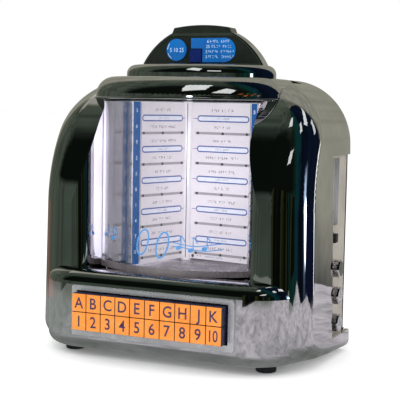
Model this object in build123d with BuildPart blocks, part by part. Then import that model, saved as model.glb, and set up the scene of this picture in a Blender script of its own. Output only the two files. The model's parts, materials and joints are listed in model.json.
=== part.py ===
from build123d import *
import os
from math import cos, radians, sin, sqrt

# Diner-style tabletop jukebox radio. Millimetres. X runs to the right as seen from the
# front, Y to the back, Z up. The origin is on the table, under the middle of the radio.

os.makedirs("parts", exist_ok=True)

# Driving dimensions -------------------------------------------------------------------

wall = 3.0                  # moulded housing thickness
floor_z = 8.0               # underside of the housing, on its feet
top_z = 279.0               # flat top behind the visor
half_base = 147.2           # half width at the foot of the housing
half_top = 141.3            # half width that the leaning sides reach at the top
shoulder_r = 66.0
edge_r = 34.0               # big rounding round the front of the housing
foot_edge_r = 20.0
foot_sections = [           # Y, corner radius and height of the foot along each side
    (-25.0, 19.0, 8.0), (-5.0, 11.0, 7.4), (30.0, 8.0, 5.6), (89.0, 8.0, 2.4),
]
back_y = 89.0               # rear edge of the housing
column_y = -59.0            # front of the two columns beside the window
sweep_z = 150.0             # where the front starts to sweep back
sweep_y = 51.0              # where the sweep reaches the top
sweep_rise = 133.0

plinth_half = 136.0         # key plinth across the foot of the front
plinth_y = -79.0
plinth_top = 87.0
plinth_corner_r = 48.0
plinth_top_r = 14.0
plinth_foot_r = 12.0
plinth_back_y = -20.0

window_half = 84.0          # opening between the columns
column_inner_r = 18.0
jamb_back_y = -9.0
oval_y = -4.0               # centre of the window's oval, seen from above

visor_half, visor_deep, visor_z = 100.0, 60.0, 256.0
visor_top_r = 19.0
visor_back_y = 55.0
step_half, step_deep, step_y = 81.0, 55.0, 27.0
step_back_y = 45.0
step_top = 292.0
step_top_r = 9.0
step_rear_r = 17.0          # rounding of the step's rear corners, seen from above

crest_r, crest_z = 77.0, 256.5
crest_front, crest_back = 27.0, 42.0
crest_flat_z = 325.0
cap_peak_z, cap_end_z = 333.3, 330.6
cap_half_low, cap_half_top = 33.5, 31.0
coin_x, coin_y = 28.0, 3.2  # coin slot, length and width
chute_y = 34.5              # middle of the coin slot

glass_half, glass_deep, glass_wall = 91.0, 55.0, 2.0
glass_foot, glass_head = 90.0, 262.0

key_pitch_x, key_pitch_z = 15.9, 18.2
key_gap = 0.5
key_row_z = 39.7            # middle of the lower row
key_front = -93.0
key_back = -71.0
key_stem = 7.0
key_travel = 2.5
tray_half_x, tray_low, tray_high = 81.0, 29.6, 68.0
tray_wall = 1.5
tray_back = -64.0
switch_face = -57.3

spine_x, spine_y, spine_r = -15.0, 30.0, 5.5
leaf_wide, leaf_thick = 84.0, 0.8
leaf_low, leaf_high = 92.0, 254.0

panel_x = 139.0             # outer face of the control panel, right side
panel_front, panel_low, panel_high = 31.0, 21.5, 204.0
panel_lap = 4.0             # how far it laps behind the housing
knob_y, knob_zs = 46.0, {"tuning_knob": 90.5, "volume_knob": 63.2, "tone_knob": 35.5}
knob_r, knob_out, shaft_r = 9.0, 149.9, 3.0
dial_front, dial_back, dial_low, dial_high = 43.0, 64.0, 133.0, 201.0
pointer_z = 167.0
rod_x, rod_y, rod_r = 132.0, 36.0, 1.5
band_y, band_z, band_travel = 46.0, 121.0, 4.0
band_cap_z = 4.6
running_gap = 0.05

drawer_half, drawer_low, drawer_high, drawer_front = 32.0, 14.0, 52.0, 22.0
cover_y = 93.0              # outer face of the rear cover
drawer_gap = 0.3

speaker_x, speaker_z, speaker_r = 68.0, 150.0, 44.0
inlet_x, inlet_z = -86.0, 44.0
base_half, base_front = 112.0, -52.0
foot_r = 10.0
foot_spots = [(-104.8, -42.0), (104.8, -42.0), (-104.8, 60.0), (104.8, 60.0)]
boss_spots = [(-139, 40), (-137, 190), (-50, 272), (50, 272), (127, 242.7), (122, 14.5)]
boss_r, boss_hole_r, screw_r, screw_head_r = 5.5, 1.5, 1.4, 3.0

eps = 1.0                   # overshoot of a cut past a face


def save(piece, name):
    """Label a finished piece and write it under its node name."""
    piece.part.label = name
    export_step(piece.part, f"parts/{name}.step")


# Shapes that several pieces share -----------------------------------------------------

def housing_body(inset, overshoot=0.0):
    """Arched housing: its front outline crossed with its side outline, edges rounded."""
    with BuildPart() as body:
        low, high = floor_z + inset, top_z - inset
        with BuildSketch(Plane.XZ.offset(-(back_y + overshoot))) as front_outline:
            with BuildLine():
                Polyline(
                    (inset - half_base, low), (half_base - inset, low),
                    (half_top - inset, high), (inset - half_top, high), close=True,
                )
            make_face()
            top_corners = front_outline.vertices().group_by(Axis.Y)[-1]
            fillet(top_corners, shoulder_r - inset)
        extrude(amount=back_y + overshoot - column_y + inset + eps)
        with BuildSketch(Plane.YZ):
            with BuildLine():
                front = column_y + inset
                crown = sweep_z + sweep_rise - inset
                rear = back_y + overshoot + eps
                EllipticalCenterArc(
                    (sweep_y, sweep_z), sweep_y - front, sweep_rise - inset,
                    start_angle=90, arc_size=90,
                )
                Polyline(
                    (front, sweep_z), (front, low - eps), (rear, low - eps),
                    (rear, crown), (sweep_y, crown),
                )
            make_face()
        extrude(amount=half_base + eps, both=True, mode=Mode.INTERSECT)
        loose = body.edges().filter_by(Axis.Y, reverse=True)
        loose = loose.filter_by(lambda e: e.center().Y < back_y - eps)
        loose = loose.filter_by(lambda e: e.center().Z > low + eps)
        rim = loose.filter_by(lambda e: abs(e.center().X) > eps or e.center().Z > top_z - 9)
        fillet(rim, edge_r - inset)
        low_edges = body.edges().filter_by(lambda e: e.center().Z < low + 0.1)
        fillet(low_edges.filter_by(lambda e: e.center().Y < back_y - eps), foot_edge_r - inset)
    return body.part


def side_foot(side):
    """Fills out the rounded foot of a side, more and more squarely towards the rear."""
    bend_z = floor_z + foot_edge_r
    inner = half_base - foot_edge_r
    lean = (half_base - half_top) / (top_z - floor_z)
    skin = wall / 2
    inner_r = foot_edge_r - skin
    slant = sqrt(0.5)
    bend_x = half_base - lean * foot_edge_r
    with BuildPart() as swell:
        for y, corner_r, foot_z in foot_sections:
            corner_x = half_base - lean * (foot_z + corner_r - floor_z)
            with BuildSketch(Plane.XZ.offset(-y)):
                with BuildLine():
                    Polyline(
                        (side * inner, floor_z + skin), (side * inner, foot_z),
                        (side * (corner_x - corner_r), foot_z),
                    )
                    ThreePointArc(
                        (side * (corner_x - corner_r), foot_z),
                        (side * (corner_x - corner_r * (1 - slant)),
                         foot_z + corner_r * (1 - slant)),
                        (side * corner_x, foot_z + corner_r),
                    )
                    Polyline(
                        (side * corner_x, foot_z + corner_r), (side * bend_x, bend_z),
                        (side * (inner + inner_r), bend_z),
                    )
                    ThreePointArc(
                        (side * (inner + inner_r), bend_z),
                        (side * (inner + inner_r * slant), bend_z - inner_r * slant),
                        (side * inner, floor_z + skin),
                    )
                make_face()
        loft(ruled=True)
    return swell.part


def plinth_body(inset):
    """Key plinth: a block with round front corners and soft top and bottom edges."""
    with BuildPart() as body:
        low, high = floor_z + inset, plinth_top - inset
        half, front = plinth_half - inset, plinth_y + inset
        with BuildSketch(Plane.XY.offset(low)) as outline:
            with BuildLine():
                Polyline(
                    (-half, front), (half, front), (half, plinth_back_y),
                    (-half, plinth_back_y), close=True,
                )
            make_face()
            fillet(outline.vertices().group_by(Axis.Y)[0], plinth_corner_r - inset)
        extrude(amount=high - low)
        ahead = body.edges().filter_by(lambda e: e.center().Y < plinth_back_y - eps)
        fillet(ahead.group_by(Axis.Z)[-1], plinth_top_r - inset)
        ahead = body.edges().filter_by(lambda e: e.center().Y < plinth_back_y - eps)
        fillet(ahead.group_by(Axis.Z)[0], plinth_foot_r - inset)
    return body.part


def half_oval(half, deep, middle_y, rear, rear_r=0.0):
    """Face outline from above: half an ellipse to the front, straight sides behind it."""
    with BuildSketch(mode=Mode.PRIVATE) as outline:
        with BuildLine():
            EllipticalCenterArc((0, middle_y), half, deep, start_angle=180, arc_size=180)
            Polyline((half, middle_y), (half, rear), (-half, rear), (-half, middle_y))
        make_face()
        if rear_r:
            fillet(outline.vertices().group_by(Axis.Y)[-1], rear_r)
    return outline.sketch


def oval_block(half, deep, middle_y, rear, low, high, round_r=0.0, rear_r=0.0):
    """Half-oval block with its front top edge rounded."""
    with BuildPart() as block:
        with BuildSketch(Plane.XY.offset(low)):
            add(half_oval(half, deep, middle_y, rear, rear_r))
        extrude(amount=high - low)
        if round_r:
            top_edges = block.edges().group_by(Axis.Z)[-1]
            fillet(top_edges.filter_by(lambda e: e.center().Y < rear - 0.1), round_r)
    return block.part


def crest_outline(radius, low, high):
    """Round-headed outline of the crest between two heights, in front view."""
    with BuildSketch(mode=Mode.PRIVATE) as outline:
        with Locations((0, crest_z)):
            Circle(radius)
        with Locations((0, (low + high) / 2)):
            Rectangle(4 * radius, high - low, mode=Mode.INTERSECT)
    return outline.sketch


def box(x0, x1, y0, y1, z0, z1, mode=Mode.ADD):
    """Box between two corners."""
    with Locations(((x0 + x1) / 2, (y0 + y1) / 2, (z0 + z1) / 2)):
        return Box(abs(x1 - x0), abs(y1 - y0), abs(z1 - z0), mode=mode)


# Front shell: body, columns and plinth in one plated moulding -------------------------

with BuildPart() as jambs:
    for side in (-1, 1):
        with BuildSketch(Plane.XY.offset(plinth_top - wall)):
            with BuildLine():
                Polyline(
                    (side * window_half, column_y), (side * window_half, jamb_back_y),
                    (side * (window_half + wall), jamb_back_y),
                    (side * (window_half + wall), column_y + column_inner_r),
                    (side * (window_half + column_inner_r), column_y + wall),
                    (side * (window_half + column_inner_r), column_y), close=True,
                )
            make_face()
        extrude(amount=visor_z - plinth_top + wall)
    add(housing_body(0), mode=Mode.INTERSECT)

with BuildPart() as window_cut:
    with BuildSketch(Plane.XY.offset(plinth_top)):
        with BuildLine():
            flare = window_half + column_inner_r
            inner_y = column_y + column_inner_r
            bulge = column_inner_r * sqrt(0.5)
            for side in (-1, 1):
                Line((side * window_half, jamb_back_y + eps), (side * window_half, inner_y))
                ThreePointArc(
                    (side * window_half, inner_y), (side * (flare - bulge), inner_y - bulge),
                    (side * flare, column_y),
                )
                Line((side * flare, column_y), (side * flare, column_y - eps))
            Line((-window_half, jamb_back_y + eps), (window_half, jamb_back_y + eps))
            Line((-flare, column_y - eps), (flare, column_y - eps))
        make_face()
    extrude(amount=visor_z - plinth_top + eps)

with BuildPart() as front_shell:
    add(housing_body(0))
    add(plinth_body(0))
    add(housing_body(wall, overshoot=eps), mode=Mode.SUBTRACT)
    add(plinth_body(wall), mode=Mode.SUBTRACT)
    add(jambs.part)
    add(window_cut.part, mode=Mode.SUBTRACT)
    add(
        oval_block(visor_half, visor_deep, oval_y, visor_back_y, visor_z, top_z + eps),
        mode=Mode.SUBTRACT,
    )
    lap = tray_wall + 0.2
    box(
        -tray_half_x - lap, tray_half_x + lap, plinth_y - eps, plinth_y + wall + eps,
        tray_low - lap, tray_high + lap, mode=Mode.SUBTRACT,
    )
    box(
        -base_half, base_half, base_front, back_y + eps, floor_z - eps, floor_z + wall,
        mode=Mode.SUBTRACT,
    )
    for side in (-1, 1):
        add(side_foot(side))
    box(
        panel_x - 1, half_base + eps, panel_front, back_y + eps, panel_low, panel_high,
        mode=Mode.SUBTRACT,
    )
    for x, z in boss_spots:
        with Locations(Plane((x, back_y, z), z_dir=(0, -1, 0))):
            Cylinder(boss_r, 18, align=(Align.CENTER, Align.CENTER, Align.MIN))
            Cylinder(
                boss_hole_r, 14, align=(Align.CENTER, Align.CENTER, Align.MIN),
                mode=Mode.SUBTRACT,
            )
save(front_shell, "front_shell")


# Base plate, feet and rear cover ------------------------------------------------------

with BuildPart() as base_plate:
    box(-base_half, base_half, base_front, back_y, floor_z, floor_z + wall)
    for x in (-28, 28):
        box(x - 2, x + 2, drawer_front, back_y, floor_z + wall, drawer_low)
    for row in range(5):
        box(-95, -55, 20 + 10 * row, 24 + 10 * row, floor_z - eps, 20, mode=Mode.SUBTRACT)
save(base_plate, "base_plate")

with BuildPart() as feet:
    with Locations(*[(x, y, 0) for x, y in foot_spots]):
        Cylinder(foot_r, floor_z, align=(Align.CENTER, Align.CENTER, Align.MIN))
    fillet(feet.edges().group_by(Axis.Z)[0], 1.5)
save(feet, "feet")

cover_inset = 3.2
with BuildPart() as rear_cover:
    with BuildSketch(Plane.XZ.offset(-cover_y)) as outline:
        with BuildLine():
            Polyline(
                (cover_inset - half_base, floor_z + cover_inset),
                (half_base - cover_inset, floor_z + cover_inset),
                (half_top - cover_inset, top_z - cover_inset),
                (cover_inset - half_top, top_z - cover_inset), close=True,
            )
        make_face()
        fillet(outline.vertices().group_by(Axis.Y)[-1], shoulder_r - cover_inset)
        fillet(outline.vertices().group_by(Axis.Y)[0], foot_edge_r)
    extrude(amount=cover_y - back_y)
    fillet(rear_cover.edges().group_by(Axis.Y)[-1], 1.5)
    for row in range(9):
        height = (row - 4) * 8.5
        reach = sqrt((speaker_r - 6) ** 2 - height ** 2)
        box(
            speaker_x - reach, speaker_x + reach, back_y - eps, cover_y + eps,
            speaker_z + height - 2, speaker_z + height + 2, mode=Mode.SUBTRACT,
        )
    for column in range(9):
        x = -112 + 9 * column
        box(x - 2, x + 2, back_y - eps, cover_y + eps, 200, 244, mode=Mode.SUBTRACT)
    box(
        -drawer_half - drawer_gap, drawer_half + drawer_gap, back_y - eps, cover_y + eps,
        drawer_low - drawer_gap, drawer_high + drawer_gap, mode=Mode.SUBTRACT,
    )
    box(
        inlet_x - 12, inlet_x + 12, back_y - eps, cover_y + eps,
        inlet_z - 8, inlet_z + 8, mode=Mode.SUBTRACT,
    )
    box(
        panel_x, half_base, back_y - eps, cover_y + eps, panel_low, panel_high,
        mode=Mode.SUBTRACT,
    )
    for x, z in boss_spots:
        with Locations(Plane((x, cover_y, z), z_dir=(0, 1, 0))):
            CounterBoreHole(boss_hole_r + 0.2, screw_head_r + 0.3, 2.2)
save(rear_cover, "rear_cover")

with BuildPart() as rear_screws:
    for x, z in boss_spots:
        with Locations(Plane((x, cover_y - 2.2, z), z_dir=(0, 1, 0))):
            Cylinder(screw_head_r, 2, align=(Align.CENTER, Align.CENTER, Align.MIN))
            Cylinder(screw_r, 13, align=(Align.CENTER, Align.CENTER, Align.MAX))
        with Locations((x, cover_y - 0.2, z)):
            Box(4.4, 1.6, 0.8, mode=Mode.SUBTRACT)
            Box(0.8, 1.6, 4.4, mode=Mode.SUBTRACT)
save(rear_screws, "rear_screws")


# Visor over the window, its step, and the crest with the coin slot --------------------

chute_half_x, chute_half_y = 15.2, 3.0
hole_x, hole_y = chute_half_x + 0.5, chute_half_y + 0.5

with BuildPart() as visor_lower:
    add(oval_block(
        visor_half, visor_deep, oval_y, visor_back_y, visor_z, top_z, visor_top_r,
    ))
    add(oval_block(
        visor_half - wall, visor_deep - wall, oval_y, visor_back_y - wall,
        visor_z + 2, top_z - wall, visor_top_r - wall,
    ), mode=Mode.SUBTRACT)
    add(oval_block(
        glass_half + 1, glass_deep + 1, oval_y, visor_back_y - wall,
        visor_z - eps, visor_z + 2 + eps,
    ), mode=Mode.SUBTRACT)
    box(
        -hole_x, hole_x, chute_y - hole_y, chute_y + hole_y, top_z - wall - eps,
        top_z + eps, mode=Mode.SUBTRACT,
    )
save(visor_lower, "visor_lower")

with BuildPart() as visor_upper:
    add(oval_block(
        step_half, step_deep, step_y, step_back_y, top_z, step_top, step_top_r, step_rear_r,
    ))
    add(oval_block(
        step_half - wall, step_deep - wall, step_y, step_back_y - wall,
        top_z - eps, step_top - wall, step_top_r - wall, step_rear_r - wall,
    ), mode=Mode.SUBTRACT)
    box(
        -hole_x, hole_x, chute_y - hole_y, chute_y + hole_y, step_top - wall - eps,
        step_top + eps, mode=Mode.SUBTRACT,
    )
save(visor_upper, "visor_upper")

crest_front_wall = 4.0
face_pocket = 2.5
with BuildPart() as crest_shell:
    with BuildSketch(Plane.XZ.offset(-crest_back)):
        add(crest_outline(crest_r, step_top, crest_flat_z))
    extrude(amount=crest_back - crest_front)
    rim = crest_shell.edges().filter_by(GeomType.CIRCLE)
    fillet(rim.group_by(Axis.Y)[0], 1.4)
    with BuildSketch(Plane.XZ.offset(-(crest_back - wall))):
        add(crest_outline(crest_r - wall, step_top - eps, crest_flat_z - wall))
    extrude(amount=crest_back - wall - crest_front - crest_front_wall, mode=Mode.SUBTRACT)
    with BuildSketch(Plane.XZ.offset(-(crest_front + face_pocket))):
        add(crest_outline(crest_r - 2.5, step_top + 2, crest_flat_z - 2.5))
    extrude(amount=face_pocket + eps, mode=Mode.SUBTRACT)
    box(
        -hole_x, hole_x, chute_y - chute_half_y - 0.2, chute_y + chute_half_y + 0.2,
        crest_flat_z - wall - eps, crest_flat_z + eps, mode=Mode.SUBTRACT,
    )
save(crest_shell, "crest_shell")

with BuildPart() as crest_cap:
    with BuildSketch(Plane.XZ.offset(-(crest_back + 1.5))):
        with BuildLine():
            Polyline(
                (-cap_half_top, cap_end_z), (-cap_half_low, crest_flat_z),
                (cap_half_low, crest_flat_z), (cap_half_top, cap_end_z),
            )
            ThreePointArc(
                (cap_half_top, cap_end_z), (0, cap_peak_z), (-cap_half_top, cap_end_z),
            )
        make_face()
    extrude(amount=crest_back - crest_front + 3)
    upright = crest_cap.edges().filter_by(lambda e: e.center().Z > crest_flat_z + 0.5)
    fillet(upright, 1.2)
    box(
        -coin_x / 2, coin_x / 2, chute_y - coin_y / 2, chute_y + coin_y / 2,
        crest_flat_z - eps, cap_peak_z + eps, mode=Mode.SUBTRACT,
    )
save(crest_cap, "crest_cap")

with BuildPart() as crest_face:
    with BuildSketch(Plane.XZ.offset(-(crest_front + face_pocket))):
        add(crest_outline(crest_r - 2.6, step_top + 2.1, crest_flat_z - 2.6))
    extrude(amount=face_pocket - 0.3)
    fillet(crest_face.edges().group_by(Axis.Y)[0], 0.5)
save(crest_face, "crest_face")
plate_front = crest_front + 0.3

with BuildPart() as coin_badge:
    with BuildSketch(Plane.XZ.offset(-plate_front)):
        with Locations((-28, 308)):
            Circle(11.5)
    extrude(amount=1.4)
    fillet(coin_badge.edges().group_by(Axis.Y)[0], 0.5)
save(coin_badge, "coin_badge")

with BuildPart() as rate_label:
    with BuildSketch(Plane.XZ.offset(-plate_front)) as outline:
        with BuildLine():
            Polyline(
                (-11.5, 309.5), (1.5, 309.5), (1.5, 295.5), (38, 295.5), (38, 320),
                (-11.5, 320), close=True,
            )
        make_face()
        fillet(outline.vertices().group_by(Axis.X)[-1], 12)
    extrude(amount=1.0)
save(rate_label, "rate_label")

with BuildPart() as price_plate:
    box(-12.5, 0.5, plate_front - 1.8, plate_front, 295.5, 308.5)
    fillet(price_plate.edges().group_by(Axis.Y)[0], 0.6)
save(price_plate, "price_plate")


# Coin chute and coin drawer -----------------------------------------------------------

chute_drop_y = 48.0
chute_bend_high, chute_bend_low = 275.0, 257.5
chute_foot = drawer_high + 2.0


def chute_route(half_y):
    """Side view of the chute: straight down, a slant to the rear, straight down."""
    with BuildSketch(mode=Mode.PRIVATE) as outline:
        with BuildLine():
            Polyline(
                (chute_y - half_y, crest_flat_z), (chute_y - half_y, chute_bend_high),
                (chute_drop_y - half_y, chute_bend_low), (chute_drop_y - half_y, chute_foot),
                (chute_drop_y + half_y, chute_foot), (chute_drop_y + half_y, chute_bend_low),
                (chute_y + half_y, chute_bend_high), (chute_y + half_y, crest_flat_z),
                close=True,
            )
        make_face()
    return outline.sketch


with BuildPart() as coin_chute:
    with BuildSketch(Plane.YZ):
        add(chute_route(chute_half_y))
    extrude(amount=chute_half_x, both=True)
    with BuildSketch(Plane.YZ):
        add(chute_route(chute_half_y - 1.2))
    extrude(amount=chute_half_x - 1.2, both=True, mode=Mode.SUBTRACT)
save(coin_chute, "coin_chute")

with BuildPart() as coin_drawer:
    box(-drawer_half, drawer_half, drawer_front, cover_y, drawer_low, drawer_high)
    box(
        -drawer_half + 2, drawer_half - 2, drawer_front + 2, cover_y - 3,
        drawer_low + 2, drawer_high + eps, mode=Mode.SUBTRACT,
    )
    box(-14, 14, cover_y - 1.6, cover_y + eps, drawer_high - 14, drawer_high - 6,
        mode=Mode.SUBTRACT)
save(coin_drawer, "coin_drawer")


# Window: lens, ledge, song pages and their lamp ---------------------------------------

lens_half_x = window_half - 0.3
with BuildPart() as window_lens:
    with BuildSketch(Plane.XY.offset(glass_foot)):
        add(half_oval(glass_half, glass_deep, oval_y, 0))
        add(half_oval(glass_half - glass_wall, glass_deep - glass_wall, oval_y, eps),
            mode=Mode.SUBTRACT)
        with Locations((0, -40)):
            Rectangle(2 * lens_half_x, 60, mode=Mode.INTERSECT)
    extrude(amount=glass_head - glass_foot)
save(window_lens, "window_lens")

backing_y = 37.0
lip_top = 93.0
with BuildPart() as window_ledge:
    with BuildSketch(Plane.XY.offset(plinth_top)):
        add(half_oval(glass_half + 3, glass_deep + 3, oval_y, backing_y))
        Rectangle(2 * lens_half_x, 200, mode=Mode.INTERSECT)
    extrude(amount=glass_foot - plinth_top)
    with BuildSketch(Plane.XY.offset(glass_foot)):
        add(half_oval(glass_half + 3, glass_deep + 3, oval_y, 0))
        add(half_oval(glass_half + 0.2, glass_deep + 0.2, oval_y, eps), mode=Mode.SUBTRACT)
        with Locations((0, -40)):
            Rectangle(2 * lens_half_x, 70, mode=Mode.INTERSECT)
    extrude(amount=lip_top - glass_foot)
save(window_ledge, "window_ledge")


def leaf(turn, side):
    """Song leaf standing on the spine, turned towards the front from the side given."""
    out = Vector(side * cos(radians(turn)), -sin(radians(turn)), 0)
    start = Vector(spine_x, spine_y, 0) + out * (spine_r + 0.1)
    with BuildPart() as sheet:
        with BuildSketch(Plane((start.X, start.Y, leaf_low), x_dir=out, z_dir=(0, 0, 1))):
            Rectangle(leaf_wide - spine_r, leaf_thick, align=(Align.MIN, Align.CENTER))
        extrude(amount=leaf_high - leaf_low)
    return sheet.part


with BuildPart() as page_left:
    add(leaf(75, -1))
save(page_left, "page_left")

with BuildPart() as page_right:
    add(leaf(10, 1))
save(page_right, "page_right")

with BuildPart() as leaves_left:
    for turn in (64.5, 52, 38, 22):
        add(leaf(turn, -1))
save(leaves_left, "leaves_left")

with BuildPart() as leaves_right:
    add(leaf(-3, 1))
save(leaves_right, "leaves_right")

with BuildPart() as page_spine:
    with Locations((spine_x, spine_y, glass_foot)):
        Cylinder(spine_r, leaf_high + 1 - glass_foot,
                 align=(Align.CENTER, Align.CENTER, Align.MIN))
save(page_spine, "page_spine")

with BuildPart() as page_backing:
    box(-98, 98, backing_y, backing_y + 2, plinth_top, leaf_high + 1)
    for x in (-98, 96):
        box(x, x + 2, backing_y - 12, backing_y + 2, plinth_top, leaf_high + 1)
save(page_backing, "page_backing")

with BuildPart() as lamp_board:
    box(-60, 60, -38, 12, 266, 267.6)
    for x in (-42, -14, 14, 42):
        with Locations((x, -14, 266)):
            Cylinder(3, 6, align=(Align.CENTER, Align.CENTER, Align.MAX))
            Sphere(3)
        with Locations((x, -14, 260)):
            Sphere(3)
    for x in (-56, 56):
        box(x - 3, x + 3, -16, -10, 267.6, top_z - wall)
save(lamp_board, "lamp_board")


# Key bed ------------------------------------------------------------------------------

frame_half, frame_low, frame_high, frame_thick = 86.8, 22.7, 72.9, 2.5
with BuildPart() as key_frame:
    box(-frame_half, frame_half, plinth_y - frame_thick, plinth_y, frame_low, frame_high)
    fillet(key_frame.edges().filter_by(Axis.Y), 2.5)
    fillet(key_frame.edges().group_by(Axis.Y)[0], 0.9)
    box(-tray_half_x, tray_half_x, plinth_y - frame_thick - eps, plinth_y + eps,
        tray_low, tray_high, mode=Mode.SUBTRACT)
save(key_frame, "key_frame")

key_row_mid = key_row_z + key_pitch_z / 2
key_spots = GridLocations(key_pitch_x, key_pitch_z, 10, 2).local_locations
with BuildPart() as key_guide:
    box(-tray_half_x - tray_wall, tray_half_x + tray_wall, plinth_y, tray_back,
        tray_low - tray_wall, tray_high + tray_wall)
    box(-tray_half_x, tray_half_x, plinth_y - eps, tray_back - 3,
        tray_low, tray_high, mode=Mode.SUBTRACT)
    for spot in key_spots:
        x, z = spot.position.X, key_row_mid + spot.position.Y
        with Locations((x, tray_back - 1.5, z)):
            Box(key_stem + 0.3, 5, key_stem + 0.3, mode=Mode.SUBTRACT)
    for x in (-tray_half_x - 0.5, tray_half_x + 0.5):
        for z in (tray_low, tray_high):
            with Locations(Plane((x, tray_back, z), z_dir=(0, 1, 0))):
                Cylinder(2.5, 14, align=(Align.CENTER, Align.CENTER, Align.MIN))
save(key_guide, "key_guide")

with BuildPart() as key_board:
    box(-tray_half_x - 3, tray_half_x + 3, tray_back + 14, tray_back + 15.6,
        tray_low - 3, tray_high + 3)
    for spot in key_spots:
        x, z = spot.position.X, key_row_mid + spot.position.Y
        box(x - 3, x + 3, switch_face + 2, tray_back + 14, z - 3, z + 3)
        with Locations(Plane((x, switch_face, z), z_dir=(0, 1, 0))):
            Cylinder(1.75, 2.5, align=(Align.CENTER, Align.CENTER, Align.MIN))
save(key_board, "key_board")

key_names = [list("abcdefghjk"), [str(n) for n in range(1, 11)]]
for row, names in enumerate(key_names):
    for column, key_name in enumerate(names):
        x = (column - 4.5) * key_pitch_x
        z = key_row_z + (1 - row) * key_pitch_z
        with BuildPart() as key:
            half_x, half_z = (key_pitch_x - key_gap) / 2, (key_pitch_z - key_gap) / 2
            box(x - half_x, x + half_x, key_front, key_back, z - half_z, z + half_z)
            fillet(key.edges().group_by(Axis.Y)[0], 0.6)
            box(x - key_stem / 2, x + key_stem / 2, key_back, switch_face - key_travel - 0.2,
                z - key_stem / 2, z + key_stem / 2)
        save(key, f"key_{key_name}")


# Side controls ------------------------------------------------------------------------

with BuildPart() as side_panel:
    box(panel_x - 3, panel_x, panel_front - panel_lap, back_y,
        panel_low - panel_lap, panel_high + panel_lap)
    box(panel_x - 4, panel_x + eps, dial_front, dial_back, dial_low, dial_high,
        mode=Mode.SUBTRACT)
    for z in knob_zs.values():
        with Locations(Plane((panel_x, knob_y, z), z_dir=(1, 0, 0))):
            Hole(shaft_r + 0.6)
    box(panel_x - 4, panel_x + eps, band_y - 3, band_y + 3, band_z - 7, band_z + 3,
        mode=Mode.SUBTRACT)
    box(panel_x - 1, panel_x + eps, band_y - 5, band_y + 5,
        band_z - band_cap_z - band_travel - 0.6, band_z + band_cap_z + 0.6,
        mode=Mode.SUBTRACT)
save(side_panel, "side_panel")

with BuildPart() as dial_window:
    gap = 0.1
    box(panel_x - 2.5, panel_x + 0.4, dial_front + gap, dial_back - gap,
        dial_low + gap, dial_high - gap)
    fillet(dial_window.edges().group_by(Axis.X)[-1], 0.3)
save(dial_window, "dial_window")

scale_front_x = 132.6
with BuildPart() as dial_scale:
    box(scale_front_x - 1.5, scale_front_x, dial_front - 1, dial_back + 2,
        dial_low - 2, dial_high + 2)
    for z in (dial_low - 5, dial_high + 1):
        box(scale_front_x - 3, scale_front_x, rod_y - 3, dial_front + 3, z, z + 4)
    with Locations((rod_x, rod_y, dial_low - 5)):
        Cylinder(rod_r, dial_high - dial_low + 10,
                 align=(Align.CENTER, Align.CENTER, Align.MIN))
save(dial_scale, "dial_scale")

with BuildPart() as dial_pointer:
    box(rod_x - 2.8, rod_x + 3, rod_y - 3, rod_y + 3, pointer_z - 4, pointer_z + 4)
    with Locations((rod_x, rod_y, pointer_z)):
        Cylinder(rod_r + running_gap, 10, mode=Mode.SUBTRACT)
    box(rod_x + 1.8, rod_x + 2.8, rod_y + 3, dial_back - 1, pointer_z - 0.8, pointer_z + 0.8)
save(dial_pointer, "dial_pointer")

with BuildPart() as band_slider:
    box(panel_x - 0.8, panel_x + 5.5, band_y - 4, band_y + 4,
        band_z - band_cap_z, band_z + band_cap_z)
    fillet(band_slider.edges().group_by(Axis.X)[-1], 0.9)
    box(panel_x - 8, panel_x, band_y - 2.4, band_y + 2.4, band_z - 2.2, band_z + 2.2)
save(band_slider, "band_slider")

board_x = 117.0
board_front = board_x + 1.6
pot_top = board_x + 10
with BuildPart() as control_board:
    box(board_x, board_front, 28, 86, 24, panel_high)
    for z in knob_zs.values():
        with Locations(Plane((board_front, knob_y, z), z_dir=(1, 0, 0))):
            Cylinder(8.5, pot_top - board_front,
                     align=(Align.CENTER, Align.CENTER, Align.MIN))
        with Locations(Plane((pot_top, knob_y, z), z_dir=(1, 0, 0))):
            Cylinder(4.5, 7, align=(Align.CENTER, Align.CENTER, Align.MIN))
            Cylinder(shaft_r + running_gap, 24, mode=Mode.SUBTRACT)
    box(board_front, panel_x - 8.2, band_y - 4, band_y + 4, band_z - 8, band_z + 6)
    box(board_x - 14, board_x, knob_y - 10, knob_y + 10,
        knob_zs["tuning_knob"] - 10, knob_zs["tuning_knob"] + 10)
    box(board_front, scale_front_x - 1.5, dial_back - 4, dial_back, 150, 154)
save(control_board, "control_board")

for knob_name, z in knob_zs.items():
    with BuildPart() as knob:
        with Locations(Plane((panel_x + 0.4, knob_y, z), z_dir=(1, 0, 0))):
            Cylinder(knob_r, knob_out - panel_x - 0.4,
                     align=(Align.CENTER, Align.CENTER, Align.MIN))
        fillet(knob.edges().group_by(Axis.X)[-1], 1.6)
        grips = 20
        with Locations(Plane((panel_x + 1.4, knob_y, z), z_dir=(1, 0, 0))):
            with PolarLocations(knob_r + 0.35, grips):
                Cylinder(0.8, 7, align=(Align.CENTER, Align.CENTER, Align.MIN),
                         mode=Mode.SUBTRACT)
        with Locations(Plane((panel_x + 0.4, knob_y, z), z_dir=(1, 0, 0))):
            Cylinder(shaft_r, 16, align=(Align.CENTER, Align.CENTER, Align.MAX))
    save(knob, knob_name)


# Radio works --------------------------------------------------------------------------

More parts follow.
